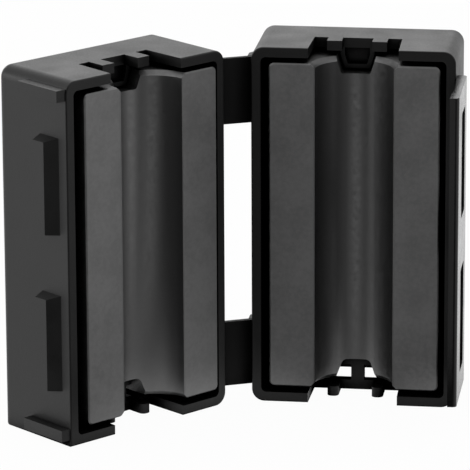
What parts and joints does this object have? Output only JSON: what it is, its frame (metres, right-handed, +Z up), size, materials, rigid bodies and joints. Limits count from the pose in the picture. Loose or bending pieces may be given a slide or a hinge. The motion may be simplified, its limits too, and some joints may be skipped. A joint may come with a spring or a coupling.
{
  "type": "clip-on ferrite bead",
  "caption": "Open clip-on ferrite bead: hinged black plastic case halves, each holding a grooved ferrite core, with a windowed latch flap and catch teeth, closing round a cable.",
  "frame": {"origin": "centre of the cable notch on the flap half's mating plane, at the lower end of the case", "axes": "+Z up along the cable, -Y the way the flap half's mating plane faces, +X from the hinge side to the latch side of the flap half"},
  "size_m": [0.0424, 0.0264, 0.035],
  "materials": {
    "case_plastic": "satin black moulded polyamide",
    "ferrite": "dark grey sintered ferrite, matte"
  },
  "bodies": {
    "flap_half": {"flap_case_half": "case_plastic", "latch_flap": "case_plastic", "flap_side_core": "ferrite"},
    "hinge_straps": {"hinge_strap_upper": "case_plastic", "hinge_strap_lower": "case_plastic"},
    "catch_half": {"catch_case_half": "case_plastic", "catch_side_core": "ferrite"}
  },
  "joints": [
    {"name": "flap_side_fold", "type": "hinge", "parent": "flap_half", "child": "hinge_straps", "pos_m": [-0.01, 0.0017, 0.0175], "axis": [0, 0, -1], "range_deg": [-65.2, 24.8]},
    {"name": "catch_side_fold", "type": "hinge", "parent": "hinge_straps", "child": "catch_half", "pos_m": [-0.01318, 0.00023, 0.0175], "axis": [0, 0, -1], "range_deg": [-65.2, 24.8], "deforming": ["latch_flap"]}
  ],
  "couplings": [
    {"joint": "flap_side_fold", "follows": "catch_side_fold", "ratio": 1}
  ]
}
